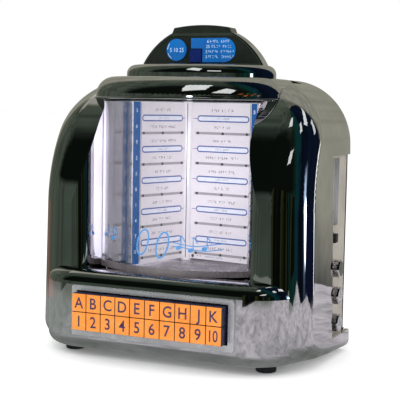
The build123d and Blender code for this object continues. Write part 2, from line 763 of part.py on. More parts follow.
with BuildPart() as main_board:
    box(42, 106, -34, 30, 20, 21.6)
    for x in (46, 102):
        for y in (-30, 26):
            with Locations((x, y, floor_z + wall)):
                Cylinder(3, 9, align=(Align.CENTER, Align.CENTER, Align.MIN))
    box(60, 92, -6, -2, 21.6, 48)
    for x, y, radius, height in ((52, -20, 5, 14), (66, -24, 6, 18), (84, -24, 4, 10),
                                 (98, -14, 5, 14), (56, 18, 4, 9)):
        with Locations((x, y, 21.6)):
            Cylinder(radius, height, align=(Align.CENTER, Align.CENTER, Align.MIN))
    box(66, 84, 8, 16, 21.6, 25)
save(main_board, "main_board")

with BuildPart() as transformer:
    box(-104, -56, -20, 12, floor_z + wall, 52)
    box(-94, -66, -30, 22, 18, 45)
    box(-112, -48, -14, 6, floor_z + wall, floor_z + wall + 2)
save(transformer, "transformer")

with BuildPart() as speaker:
    with BuildSketch(Plane.YZ):
        with BuildLine():
            Polyline(
                (back_y, 0), (back_y, speaker_r), (back_y - 3, speaker_r),
                (back_y - 3, speaker_r - 4), (back_y - 22, 21), (back_y - 24, 24),
                (back_y - 36, 24), (back_y - 36, 0), close=True,
            )
        make_face()
        with BuildLine():
            Polyline(
                (back_y + eps, 0), (back_y + eps, speaker_r - 7),
                (back_y - 2, speaker_r - 7), (back_y - 17, 12), (back_y - 14, 8),
                (back_y - 12, 0), close=True,
            )
        make_face(mode=Mode.SUBTRACT)
    revolve(axis=Axis.Y)
speaker.part.position = (speaker_x, 0, speaker_z)
save(speaker, "speaker")

with BuildPart() as mains_inlet:
    box(inlet_x - 12, inlet_x + 12, back_y - 16, cover_y, inlet_z - 8, inlet_z + 8)
    for x in (inlet_x - 4, inlet_x + 4):
        with Locations(Plane((x, cover_y, inlet_z), z_dir=(0, 1, 0))):
            Cylinder(4.4, 20, mode=Mode.SUBTRACT)
    box(inlet_x - 4, inlet_x + 4, cover_y - 10, cover_y + eps, inlet_z - 4.4, inlet_z + 4.4,
        mode=Mode.SUBTRACT)
    for x in (inlet_x - 4, inlet_x + 4):
        with Locations(Plane((x, cover_y - 2, inlet_z), z_dir=(0, 1, 0))):
            Cylinder(1.2, 10, align=(Align.CENTER, Align.CENTER, Align.MAX))
save(mains_inlet, "mains_inlet")
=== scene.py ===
import json
import math
import random

import bmesh
import bpy
from mathutils import Matrix, Vector

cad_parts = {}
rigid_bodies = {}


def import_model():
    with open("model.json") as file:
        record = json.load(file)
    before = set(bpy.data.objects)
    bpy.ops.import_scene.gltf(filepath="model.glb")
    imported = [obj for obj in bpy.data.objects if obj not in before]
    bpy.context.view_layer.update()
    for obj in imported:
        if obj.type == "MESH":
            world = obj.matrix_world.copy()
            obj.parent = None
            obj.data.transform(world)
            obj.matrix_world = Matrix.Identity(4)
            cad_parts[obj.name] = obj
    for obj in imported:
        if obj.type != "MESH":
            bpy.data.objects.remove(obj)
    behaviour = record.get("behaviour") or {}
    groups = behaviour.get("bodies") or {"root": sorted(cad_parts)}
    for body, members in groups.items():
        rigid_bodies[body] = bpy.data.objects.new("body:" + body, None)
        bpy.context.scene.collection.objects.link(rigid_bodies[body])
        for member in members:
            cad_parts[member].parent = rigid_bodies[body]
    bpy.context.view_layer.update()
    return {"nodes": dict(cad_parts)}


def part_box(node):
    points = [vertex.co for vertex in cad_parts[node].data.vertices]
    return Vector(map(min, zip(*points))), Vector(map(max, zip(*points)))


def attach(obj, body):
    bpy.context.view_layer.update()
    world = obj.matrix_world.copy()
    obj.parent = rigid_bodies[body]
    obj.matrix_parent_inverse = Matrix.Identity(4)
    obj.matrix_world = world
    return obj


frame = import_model()
nodes = frame["nodes"]
scene = bpy.context.scene
MM = 0.001


# Node materials ---------------------------------------------------------------------

class Nodes:
    """Short names for the shader nodes of one material."""

    def __init__(self, name):
        self.material = bpy.data.materials.new(name)
        self.material.use_nodes = True
        self.tree = self.material.node_tree
        self.tree.nodes.clear()
        self.output = self.tree.nodes.new("ShaderNodeOutputMaterial")
        self.coords = self.tree.nodes.new("ShaderNodeTexCoord")

    def node(self, kind, inputs=None, **settings):
        made = self.tree.nodes.new(kind)
        for key, value in settings.items():
            setattr(made, key, value)
        for key, value in (inputs or {}).items():
            self.feed(made.inputs[key], value)
        return made

    def feed(self, socket, value):
        if isinstance(value, bpy.types.NodeSocket):
            self.tree.links.new(value, socket)
        else:
            socket.default_value = value

    def place(self, scale=(1, 1, 1)):
        mapping = self.node("ShaderNodeMapping", {"Scale": scale})
        self.feed(mapping.inputs["Vector"], self.coords.outputs["Object"])
        return mapping.outputs["Vector"]

    def noise(self, scale, detail=3.0, rough=0.5, warp=0.0, where=None):
        inputs = {"Scale": scale, "Detail": detail, "Roughness": rough, "Distortion": warp}
        made = self.node("ShaderNodeTexNoise", inputs)
        self.feed(made.inputs["Vector"], where or self.coords.outputs["Object"])
        return made.outputs["Fac"]

    def remap(self, value, low, high, to_low=0.0, to_high=1.0):
        inputs = {"Value": value, "From Min": low, "From Max": high,
                  "To Min": to_low, "To Max": to_high}
        made = self.node("ShaderNodeMapRange", inputs, interpolation_type="SMOOTHSTEP")
        return made.outputs[0]

    def mix(self, share, first, second):
        made = self.node("ShaderNodeMix", data_type="RGBA")
        for index, value in ((0, share), (6, first), (7, second)):
            self.feed(made.inputs[index], value)
        return made.outputs[2]

    def maths(self, operation, *values):
        made = self.node("ShaderNodeMath", operation=operation)
        for socket, value in zip(made.inputs, values):
            self.feed(socket, value)
        return made.outputs[0]

    def axis(self, letter, source=None):
        made = self.node("ShaderNodeSeparateXYZ")
        self.feed(made.inputs[0], source or self.coords.outputs["Object"])
        return made.outputs[letter]

    def bump(self, height, distance, under=None):
        inputs = {"Height": height, "Distance": distance, "Strength": 1.0}
        made = self.node("ShaderNodeBump", inputs)
        if under is not None:
            self.feed(made.inputs["Normal"], under)
        return made.outputs[0]

    def principled(self, **inputs):
        named = {key.replace("_", " "): value for key, value in inputs.items()}
        return self.node("ShaderNodeBsdfPrincipled", named).outputs[0]

    def finish(self, shader):
        self.feed(self.output.inputs["Surface"], shader)
        return self.material


def rgb(red, green, blue):
    """Scene-linear colour from 0-255 display values."""
    def channel(value):
        value /= 255
        return value / 12.92 if value <= 0.04045 else ((value + 0.055) / 1.055) ** 2.4
    return (channel(red), channel(green), channel(blue), 1.0)


def chrome(name, tone=(222, 223, 226), smooth=0.025, wave=0.00035):
    """Plated plastic: a mirror with a faint wave, fine haze and finger smudges."""
    n = Nodes(name)
    cloud = n.noise(22, 4)
    smudge = n.remap(n.noise(48, 6, 0.65, 1.4), 0.52, 0.78)
    bright = rgb(*tone)
    dull = rgb(*(0.93 * t for t in tone))
    colour = n.mix(n.remap(cloud, 0.35, 0.7), bright, dull)
    rough = n.maths("ADD", smooth, n.maths("MULTIPLY", smudge, 0.05))
    normal = n.bump(n.noise(17, 2, 0.4), wave)
    normal = n.bump(n.noise(900, 2), 0.000002, normal)
    return n.finish(n.principled(Base_Color=colour, Metallic=1.0, Roughness=rough, Normal=normal))


def moulded(name, light, dark, rough=0.45, grain=600, depth=0.00003, spread=0.08,
            patch=30, metal=0.0):
    """Moulded or painted surface: two-tone clouding, uneven gloss and a fine grain."""
    n = Nodes(name)
    colour = n.mix(n.remap(n.noise(patch, 5, 0.6), 0.3, 0.7), rgb(*light), rgb(*dark))
    gloss = n.remap(n.noise(patch * 2.3, 4), 0.3, 0.7, rough - spread, rough + spread)
    normal = n.bump(n.noise(grain, 3, 0.6), depth)
    return n.finish(n.principled(Base_Color=colour, Roughness=gloss, Normal=normal,
                                 Metallic=metal))


def clear(name, tint=(244, 247, 250), haze=0.05, gloss=0.9):
    """Clear moulding: see-through with a Fresnel mirror and a trace of haze."""
    n = Nodes(name)
    seen = n.node("ShaderNodeBsdfTransparent", {"Color": rgb(*tint)}).outputs[0]
    uneven = n.bump(n.noise(9, 2), 0.0006)
    rough = n.remap(n.noise(60, 4), 0.4, 0.8, 0.015, 0.07)
    mirror = n.node("ShaderNodeBsdfGlossy", {"Roughness": rough, "Normal": uneven}).outputs[0]
    milky = n.node("ShaderNodeBsdfDiffuse", {"Color": rgb(236, 238, 244)}).outputs[0]
    veil = n.remap(n.noise(25, 5, 0.6), 0.35, 0.8, haze * 0.4, haze)
    body = n.node("ShaderNodeMixShader", {0: veil, 1: seen, 2: milky}).outputs[0]
    edge = n.node("ShaderNodeFresnel", {"IOR": 1.46, "Normal": uneven}).outputs[0]
    share = n.maths("MULTIPLY", edge, gloss)
    return n.finish(n.node("ShaderNodeMixShader", {0: share, 1: body, 2: mirror}).outputs[0])


def key_cap():
    """Orange on the pressed face, navy on the sides, as in a two-shot moulding."""
    n = Nodes("key_orange_face")
    facing = n.maths("MULTIPLY", n.axis("Y", n.coords.outputs["Normal"]), -1.0)
    face = n.remap(facing, 0.55, 0.8)
    orange = n.mix(n.remap(n.noise(70, 4), 0.35, 0.7), rgb(234, 142, 54), rgb(226, 132, 45))
    worn = n.mix(n.remap(n.noise(240, 4), 0.58, 0.8), orange, rgb(238, 158, 82))
    navy = n.mix(n.remap(n.noise(80, 3), 0.3, 0.7), rgb(34, 30, 62), rgb(22, 22, 46))
    normal = n.bump(n.noise(420, 3), 0.00002)
    return n.finish(n.principled(Base_Color=n.mix(face, navy, worn), Normal=normal,
                                 Roughness=n.remap(n.noise(90, 4), 0.3, 0.7, 0.3, 0.42)))


def paper(name, light, dark):
    """Printed card behind film: fibre mottle and a satin sheen."""
    n = Nodes(name)
    fibre = n.noise(700, 4, 0.7, 0.3, n.place((1, 1, 0.4)))
    tone = n.mix(n.remap(n.noise(18, 4, 0.6), 0.3, 0.7), rgb(*light), rgb(*dark))
    colour = n.mix(n.remap(fibre, 0.45, 0.8, 0.0, 0.25), tone, rgb(250, 246, 246))
    return n.finish(n.principled(Base_Color=colour, Normal=n.bump(fibre, 0.00002),
                                 Roughness=n.remap(n.noise(50, 3), 0.3, 0.7, 0.4, 0.6)))


def ink(name, tone, patchy=0.12):
    """Printed or filled ink with slight density changes."""
    n = Nodes(name)
    pale = tuple(t + (255 - t) * patchy for t in tone)
    colour = n.mix(n.remap(n.noise(450, 4, 0.6), 0.4, 0.75), rgb(*tone), rgb(*pale))
    return n.finish(n.principled(Base_Color=colour,
                                 Roughness=n.remap(n.noise(200, 3), 0.3, 0.7, 0.35, 0.5)))


def laminated(name, light, dark):
    """Stacked iron sheets with varnish between them."""
    n = Nodes(name)
    sheets = n.node("ShaderNodeTexWave", {"Scale": 420.0, "Distortion": 0.4},
                    bands_direction="Z").outputs["Fac"]
    colour = n.mix(sheets, rgb(*dark), rgb(*light))
    return n.finish(n.principled(Base_Color=colour, Metallic=0.6, Roughness=0.5,
                                 Normal=n.bump(sheets, 0.0001)))


def board():
    """Circuit board: green mask with paler tracks; parts standing on it are dark."""
    n = Nodes("board_green")
    tracks = n.node("ShaderNodeTexBrick", {"Scale": 160.0, "Mortar Size": 0.03},
                    offset=0.5).outputs["Fac"]
    mask = n.mix(n.remap(n.noise(60, 4), 0.3, 0.7), rgb(24, 92, 52), rgb(16, 70, 42))
    colour = n.mix(tracks, mask, rgb(78, 138, 84))
    return n.finish(n.principled(Base_Color=colour, Roughness=0.4,
                                 Normal=n.bump(tracks, 0.00003)))


def cone():
    """Speaker: felt-grey paper cone with fine rings, black basket."""
    n = Nodes("speaker_paper")
    where = n.place((1, 1, 1))
    rings = n.node("ShaderNodeTexWave", {"Scale": 90.0, "Distortion": 0.5, "Vector": where},
                   wave_type="RINGS", rings_direction="Y").outputs["Fac"]
    colour = n.mix(rings, rgb(34, 34, 36), rgb(52, 51, 52))
    return n.finish(n.principled(Base_Color=colour, Roughness=0.7,
                                 Normal=n.bump(rings, 0.00008)))


CHROME = chrome("plated_shell")
KNOB_CHROME = chrome("plated_knob", (228, 228, 230), 0.05, 0.0001)
FRAME_METAL = moulded("frame_silver_metal", (226, 228, 230), (214, 216, 220), 0.3, 900,
                      0.000012, 0.08, 40, metal=0.75)
LABEL_BLUE = moulded("label_blue_gloss", (10, 104, 180), (4, 92, 168), 0.22, 300, 0.00001)
LABEL_NAVY = moulded("label_navy_gloss", (10, 38, 112), (6, 28, 96), 0.2, 300, 0.00001)
PANEL = moulded("panel_satin_paint", (168, 162, 152), (150, 144, 135), 0.42, 1300, 0.00003)
BLACK = moulded("black_texture", (30, 30, 32), (20, 20, 22), 0.6, 1500, 0.00012)
RUBBER = moulded("foot_rubber_grain", (28, 30, 36), (18, 20, 25), 0.75, 1800, 0.00008)
TRAY = moulded("tray_navy_satin", (24, 25, 50), (16, 17, 38), 0.5, 900, 0.00003)
BACKING = moulded("backing_grey", (158, 154, 158), (142, 138, 143), 0.5, 700, 0.00003)
SPINE = moulded("spine_grey", (228, 218, 221), (216, 206, 210), 0.45, 500, 0.00002)
PAGE = paper("page_card", (231, 219, 221), (223, 210, 213))
LEAF = paper("leaf_card", (226, 220, 226), (208, 200, 208))
SCALE = paper("dial_scale_card", (238, 236, 228), (226, 224, 216))
RED = moulded("pointer_red_gloss", (196, 30, 26), (176, 22, 20), 0.3, 400, 0.00001)
SWITCH = moulded("switch_black_satin", (34, 34, 36), (24, 24, 26), 0.4, 900, 0.00003)
BOARD = board()
IRON = laminated("transformer_iron", (112, 110, 112), (58, 57, 60))
CONE = cone()
STEEL = moulded("screw_zinc", (172, 172, 176), (142, 142, 148), 0.32, 1200, 0.00002, metal=0.9)
BIN = moulded("bin_black_satin", (40, 40, 43), (28, 28, 31), 0.5, 1100, 0.00006)
LENS = clear("lens_clear", haze=0.02)
DIAL_CLEAR = clear("dial_clear_strip", (236, 240, 246), 0.25, 1.0)
LEDGE = moulded("ledge_satin", (146, 138, 142), (116, 110, 115), 0.3, 700, 0.00002, metal=0.4)


def crest_gloss():
    """Smoked gloss plate: near-black with a clear coat over it."""
    n = Nodes("crest_smoked_gloss")
    colour = n.mix(n.remap(n.noise(26, 4), 0.3, 0.7), rgb(44, 49, 44), rgb(30, 34, 31))
    normal = n.bump(n.noise(11, 2), 0.0004)
    return n.finish(n.principled(Base_Color=colour, Metallic=0.35, Normal=normal,
                                 Roughness=n.remap(n.noise(70, 4), 0.4, 0.8, 0.06, 0.16),
                                 Coat_Weight=0.8, Coat_Roughness=0.03))


CREST = crest_gloss()

finishes = {
    "front_shell": (CHROME, "chrome_shell"), "visor_lower": (CHROME, "chrome_shell"),
    "visor_upper": (CHROME, "chrome_shell"), "crest_shell": (CHROME, "chrome_shell"),
    "crest_cap": (CREST, "crest_dark"), "crest_face": (CREST, "crest_dark"),
    "coin_badge": (LABEL_BLUE, "label_blue"), "rate_label": (LABEL_BLUE, "label_blue"),
    "price_plate": (LABEL_NAVY, "label_navy"), "window_lens": (LENS, "clear_window"),
    "window_ledge": (LEDGE, "chrome_shell"), "page_left": (PAGE, "page_paper"),
    "page_right": (PAGE, "page_paper"), "leaves_left": (LEAF, "page_paper"),
    "leaves_right": (LEAF, "page_paper"), "page_spine": (SPINE, "spine_plastic"),
    "page_backing": (BACKING, "backing"), "lamp_board": (BOARD, "circuit_board"),
    "key_frame": (FRAME_METAL, "frame_silver"), "key_guide": (TRAY, "tray_navy"),
    "key_board": (BOARD, "circuit_board"), "side_panel": (PANEL, "panel_satin"),
    "dial_window": (DIAL_CLEAR, "dial_clear"), "dial_scale": (SCALE, "scale_white"),
    "dial_pointer": (RED, "pointer_red"), "band_slider": (SWITCH, "switch_black"),
    "control_board": (BOARD, "circuit_board"), "main_board": (BOARD, "circuit_board"),
    "transformer": (IRON, "iron_core"), "speaker": (CONE, "speaker_frame"),
    "mains_inlet": (BLACK, "case_black"), "rear_cover": (BLACK, "case_black"),
    "base_plate": (BLACK, "case_black"), "feet": (RUBBER, "foot_rubber"),
    "rear_screws": (STEEL, "screw_steel"), "coin_chute": (BIN, "bin_plastic"),
    "coin_drawer": (BIN, "bin_plastic"), "tuning_knob": (KNOB_CHROME, "knob_chrome"),
    "volume_knob": (KNOB_CHROME, "knob_chrome"), "tone_knob": (KNOB_CHROME, "knob_chrome"),
}
KEY = key_cap()
for name, cad in nodes.items():
    material, slot = finishes.get(name, (KEY, "key_orange"))
    cad.data.materials.clear()
    cad.data.materials.append(material)


# Thin printed layers ----------------------------------------------------------------

class Layer:
    """Flat shapes laid on a surface as one thin closed mesh. to_space(a, z, h) gives the
    point a millimetres across, z up and h proud of the surface."""

    def __init__(self, to_space, thick=0.06, sunk=0.02):
        self.to_space = to_space
        self.high, self.low = thick, -sunk
        self.mesh = bmesh.new()

    def ring(self, outline, height):
        return [self.mesh.verts.new(Vector(self.to_space(a, z, height)) * MM)
                for a, z in outline]

    def plate(self, outline):
        """Filled shape."""
        top, foot = self.ring(outline, self.high), self.ring(outline, self.low)
        self.mesh.faces.new(top)
        self.mesh.faces.new(foot[::-1])
        for i in range(len(top)):
            j = (i + 1) % len(top)
            self.mesh.faces.new((top[j], top[i], foot[i], foot[j]))

    def strip(self, outer, inner, closed=True):
        """Band between two outlines with the same number of points."""
        rows = [self.ring(outer, self.high), self.ring(inner, self.high),
                self.ring(inner, self.low), self.ring(outer, self.low)]
        count = len(outer)
        for i in range(count if closed else count - 1):
            j = (i + 1) % count
            for k in range(4):
                a, b = rows[k], rows[(k + 1) % 4]
                self.mesh.faces.new((a[i], a[j], b[j], b[i]))
        if not closed:
            self.mesh.faces.new([row[0] for row in rows])
            self.mesh.faces.new([row[-1] for row in rows][::-1])

    def box(self, a0, a1, z0, z1):
        self.strip([(a0, z1), (a1, z1)], [(a0, z0), (a1, z0)], closed=False)

    def disc(self, a, z, radius, sides=14):
        self.plate([(a + radius * math.cos(t), z + radius * math.sin(t))
                    for t in (math.tau * i / sides for i in range(sides))])

    def capsule(self, a0, a1, z, half, width):
        """Outline of a long round-ended shape."""
        self.strip(capsule_outline(a0, a1, z, half),
                   capsule_outline(a0 + width, a1 - width, z, half - width))

    def stroke(self, points, width):
        """Open line of even width through the points."""
        sides = ([], [])
        for i, (a, z) in enumerate(points):
            before, after = points[max(i - 1, 0)], points[min(i + 1, len(points) - 1)]
            along = Vector((after[0] - before[0], after[1] - before[1])).normalized()
            for side, sign in zip(sides, (1, -1)):
                side.append((a - along.y * sign * width / 2, z + along.x * sign * width / 2))
        self.strip(sides[0], sides[1], closed=False)

    def piece(self, name, material, slot, body="housing"):
        bmesh.ops.recalc_face_normals(self.mesh, faces=self.mesh.faces)
        mesh = bpy.data.meshes.new(name)
        self.mesh.to_mesh(mesh)
        self.mesh.free()
        return add_piece(name, mesh, material, body)


def capsule_outline(a0, a1, z, half):
    arcs = []
    for middle, start in ((a1 - half, -90), (a0 + half, 90)):
        for step in range(9):
            t = math.radians(start + step * 22.5)
            arcs.append((middle + half * math.cos(t), z + half * math.sin(t)))
    return arcs


def add_piece(name, mesh, material, body):
    piece = bpy.data.objects.new(name, mesh)
    scene.collection.objects.link(piece)
    mesh.materials.append(material)
    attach(piece, body)
    return piece


def glyph_marks(layer, centre, z, count, size, rng, words=3):
    """A line of abstract marks that fills the place of small print."""
    gap = size * 0.95
    length = count * gap
    a = centre - length / 2
    breaks = {round(count * (i + 1) / words) for i in range(words - 1)}
    w, line = size * 0.62, size * 0.2
    for i in range(count):
        if i not in breaks:
            kind = rng.randrange(5)
            if kind in (0, 1, 3):
                layer.box(a, a + line, z - size / 2, z + size / 2)
            if kind in (0, 2, 4):
                layer.box(a + line * 1.2, a + w, z + size / 2 - line, z + size / 2)
            if kind in (1, 2):
                layer.box(a + line * 1.2, a + w, z - line / 2, z + line / 2)
            if kind in (3, 4):
                layer.box(a + line * 1.2, a + w, z - size / 2, z - size / 2 + line)
        a += gap


def type_mesh(text, bold):
    """Flat outline of built-in type at size 1, as a mesh with two sides in Z."""
    curve = bpy.data.curves.new("type", "FONT")
    curve.body, curve.size, curve.offset = text, 1.0, bold
    curve.extrude, curve.resolution_u = 0.5, 3
    holder = bpy.data.objects.new("type", curve)
    scene.collection.objects.link(holder)
    bpy.context.view_layer.update()
    mesh = bpy.data.meshes.new_from_object(
        holder.evaluated_get(bpy.context.evaluated_depsgraph_get()))
    bpy.data.objects.remove(holder)
    bpy.data.curves.remove(curve)
    return mesh


def mesh_span(mesh, axis):
    values = [vertex.co[axis] for vertex in mesh.vertices]
    return min(values), max(values)


CAP_LOW, CAP_HIGH = mesh_span(type_mesh("H", 0.0), 1)


def set_type(layer, text, a, z, height, bold=0.0, squeeze=1.0, reading=1):
    """Characters centred at (a, z) with the given cap height, bent with the surface."""
    source = type_mesh(text, bold)
    scale = height / (CAP_HIGH - CAP_LOW)
    left, right = mesh_span(source, 0)
    middle_a, middle_z = (left + right) / 2, (CAP_LOW + CAP_HIGH) / 2
    made = []
    for vertex in source.vertices:
        across = reading * squeeze * scale * (vertex.co.x - middle_a)
        up = scale * (vertex.co.y - middle_z)
        height_there = layer.high if vertex.co.z > 0 else layer.low
        made.append(layer.mesh.verts.new(
            Vector(layer.to_space(a + across, z + up, height_there)) * MM))
    for polygon in source.polygons:
        layer.mesh.faces.new([made[i] for i in polygon.vertices])
    bmesh.ops.remove_doubles(layer.mesh, verts=made, dist=0.00001)
    bpy.data.meshes.remove(source)


# Key legends ------------------------------------------------------------------------

LEGEND = ink("legend_navy_ink", (62, 42, 74))
KEY_NAMES = list("abcdefghjk") + [str(n) for n in range(1, 11)]
LEGEND_HEIGHT = 10.4


def front_plane(x, y, z):
    """Surface facing the front, with its own origin."""
    return lambda a, up, h: (x + a, y - h, z + up)


for key_name in KEY_NAMES:
    low, high = (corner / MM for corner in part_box(f"key_{key_name}"))
    layer = Layer(front_plane((low.x + high.x) / 2, low.y, (low.z + high.z) / 2))
    narrow = 0.72 if len(key_name) > 1 else 0.92
    set_type(layer, key_name.upper(), 0, 0, LEGEND_HEIGHT, 0.012, narrow)
    layer.piece(f"legend_{key_name}", LEGEND, "tray_navy", f"key_{key_name}")


# Song pages -------------------------------------------------------------------------

SPINE_X, SPINE_Y = -15.0, 30.0
LEAF_END, LEAF_SKIN = 84.1, 0.4
LEAF_FOOT, LEAF_TOP = 92.3, 253.7
BAR_TOP, BAR_PITCH = 222.8, 31.2
STRIP_WIDE = {"page_left": 10.5, "page_right": 6.6, "leaf_2": 6.6, "leaf_3": 0.0}
TEXT_INK = ink("small_print_ink", (92, 72, 80))
BAR_INK = ink("divider_grey_ink", (158, 149, 152))
DOT_INK = ink("dot_black_ink", (40, 34, 38))
BUBBLE_INK = ink("bubble_slate_ink", (70, 84, 150))
BUBBLE_FILL = ink("bubble_pale_ink", (226, 222, 230), 0.3)
INDEX_INK = ink("index_blue_ink", (14, 84, 152))
WHITE_INK = ink("index_white_ink", (226, 232, 240), 0.3)


def leaf_surface(turn, side):
    """Printed face of a leaf: a runs from the spine to its outer edge."""
    t = math.radians(turn)
    out = Vector((side * math.cos(t), -math.sin(t), 0))
    face = Vector((-side * math.sin(t), -math.cos(t), 0))
    spine = Vector((SPINE_X, SPINE_Y, 0))

    def to_space(a, z, h):
        return spine + out * a + face * (LEAF_SKIN + h) + Vector((0, 0, z))
    return to_space


def print_leaf(name, turn, side, first, last, seed):
    """Five title blocks: divider bars with dots, a bubble, two lines of marks, and a
    blue index strip along the outer edge where the leaf has one."""
    rng = random.Random(seed)
    surface = leaf_surface(turn, side)
    bars, dots, marks = Layer(surface, 0.05), Layer(surface, 0.09), Layer(surface, 0.09)
    rings, fills = Layer(surface, 0.07), Layer(surface, 0.05)
    strip, digits = Layer(surface, 0.06), Layer(surface, 0.1)
    last = min(last, LEAF_END - STRIP_WIDE[name] - 2.5)
    middle = (first + last) / 2
    inner = LEAF_END - STRIP_WIDE[name]
    if STRIP_WIDE[name]:
        strip.box(inner, LEAF_END - 0.2, LEAF_FOOT, LEAF_TOP)
    bars.box(inner - 1.6, inner - 0.6, 93, 253)
    for block in range(5):
        bar = BAR_TOP - BAR_PITCH * block
        bars.box(first - 2, inner - 0.6, bar - 1.3, bar + 1.3)
        for a in (first + 1, middle, last - 2.5):
            dots.disc(a, bar, 1.5)
        bubble = bar + BAR_PITCH * 0.48
        rings.capsule(first, last, bubble, 3.4, 1.3)
        fills.plate(capsule_outline(first + 1.3, last - 1.3, bubble, 2.1))
        rings.box(first - 5, first, bubble - 0.3, bubble + 0.3)
        glyph_marks(marks, middle, bubble, 9, 1.9, rng, 2)
        glyph_marks(marks, middle, bar + BAR_PITCH * 0.75, rng.randint(9, 20), 2.6, rng)
        glyph_marks(marks, middle, bar + BAR_PITCH * 0.2, rng.randint(8, 20), 2.6, rng)
    for number in range(10 if STRIP_WIDE[name] else 0):
        at = BAR_TOP + BAR_PITCH * (0.72 - 0.5 * number)
        set_type(digits, str((number * 3 + seed) % 10), (inner + LEAF_END) / 2, at, 3.6,
                 0.01, 1.0, side)
    bars.piece(f"{name}_bars", BAR_INK, "page_paper")
    dots.piece(f"{name}_dots", DOT_INK, "page_paper")
    marks.piece(f"{name}_marks", TEXT_INK, "page_paper")
    rings.piece(f"{name}_bubbles", BUBBLE_INK, "page_paper")
    fills.piece(f"{name}_bubble_fill", BUBBLE_FILL, "page_paper")
    if STRIP_WIDE[name]:
        strip.piece(f"{name}_index", INDEX_INK, "page_paper")
        digits.piece(f"{name}_index_digits", WHITE_INK, "page_paper")


print_leaf("page_left", 75, -1, 9, 75, 3)
print_leaf("page_right", 10, 1, 12, 75, 5)
print_leaf("leaf_2", 64.5, -1, 9, 75, 8)
print_leaf("leaf_3", 52, -1, 9, 75, 9)

foot_marks = Layer(leaf_surface(10, 1), 0.09)
foot_marks.disc(9, 94.6, 1.7)
for a in (15, 18.5, 68):
    foot_marks.disc(a, 95.2, 0.6, 8)
foot_marks.piece("page_foot_dots", DOT_INK, "page_paper")
foot_bar = Layer(leaf_surface(10, 1), 0.09)
glyph_marks(foot_bar, 36, 94.8, 14, 1.6, random.Random(2), 2)
foot_bar.piece("page_foot_bar", INDEX_INK, "page_paper")


SPINE_RADIUS = 5.5


def spine_surface(a, z, h):
    """Front of the round spine; a runs round it from straight in front."""
    turn = a / SPINE_RADIUS
    reach = SPINE_RADIUS + h
    return Vector((SPINE_X + reach * math.sin(turn), SPINE_Y - reach * math.cos(turn), z))


fold = Layer(spine_surface, 0.08)
fold.box(1.5, 2.2, 92.5, 253.4)
fold.piece("page_fold_line", DOT_INK, "page_paper")


# Window motif: wavy staff and open notes --------------------------------------------

GLASS_HALF, GLASS_DEEP, OVAL_Y = 91.0, 55.0, -4.0
MOTIF = ink("motif_light_blue", (70, 140, 204))


def glass_surface(a, z, h):
    """Front of the lens; a is the X position."""
    bow = math.sqrt(1 - (a / GLASS_HALF) ** 2)
    out = Vector((a / GLASS_HALF ** 2, -bow / GLASS_DEEP, 0)).normalized()
    return Vector((a, OVAL_Y - GLASS_DEEP * bow, z)) + out * h


def loop_points(a, z, wide, tall, lean, count=40):
    """Points round a leaning oval."""
    points = []
    for i in range(count + 1):
        t = math.tau * i / count
        up = tall / 2 * math.sin(t)
        points.append((a + wide / 2 * math.cos(t) + lean * up, z + up))
    return points


motif = Layer(glass_surface, 0.12, 0.0)
for centre_a, centre_z in ((-21, 117), (1, 115.5)):
    outer = loop_points(centre_a, centre_z, 14, 27, 0.22)[:-1]
    inner = loop_points(centre_a, centre_z, 10.6, 23.4, 0.22)[:-1]
    motif.strip(outer, inner)
for line in range(2):
    motif.stroke([(a, 113.5 + 4.2 * line + 1.6 * math.sin(a / 9.0 + line))
                  for a in range(12, 60)], 1.0)
for centre_a, centre_z, rise in ((18, 114, 12), (30, 112, 13), (43, 114, 11), (-74, 119, 9),
                                 (-62, 117, 11)):
    motif.plate(loop_points(centre_a, centre_z, 5.4, 4.2, 0.3, count=16)[:-1])
    motif.stroke([(centre_a + 2.4, centre_z + i * rise / 6) for i in range(7)], 1.0)
    motif.stroke([(centre_a + 2.4 + i * 0.8, centre_z + rise - i * 0.7 - 0.1 * i * i)
                  for i in range(6)], 1.1)
motif.piece("window_motif", MOTIF, "label_blue")


# Crest labels -----------------------------------------------------------------------

PALE_BLUE = ink("label_pale_ink", (176, 206, 236), 0.2)
BADGE_A, BADGE_Z, BADGE_RING = -28, 308, 10
badge = Layer(front_plane(0, 25.9, 0))
set_type(badge, "5 10 25", BADGE_A + 0.5, BADGE_Z, 4.2, 0.006, 0.86)
for start in (200, 140):
    badge.stroke([(BADGE_A + BADGE_RING * math.cos(t), BADGE_Z + BADGE_RING * math.sin(t))
                  for t in (math.radians(start + 6 * i) for i in range(7))], 0.7)
badge.piece("coin_badge_print", PALE_BLUE, "label_blue")
rates = Layer(front_plane(0, 26.3, 0))
rng = random.Random(4)
for row, (number, centre, count) in enumerate(
        (("6", 20, 9), ("25", 22, 9), ("2", 20, 13), ("5", 20, 13))):
    z = 316.6 - 5.2 * row
    set_type(rates, number, 7.5 if row < 2 else 6, z, 3.0, 0.008)
    glyph_marks(rates, centre + 1, z, count, 2.6, rng, 2)
rates.piece("rate_label_print", PALE_BLUE, "label_blue")


# Trim bead under the visor ----------------------------------------------------------

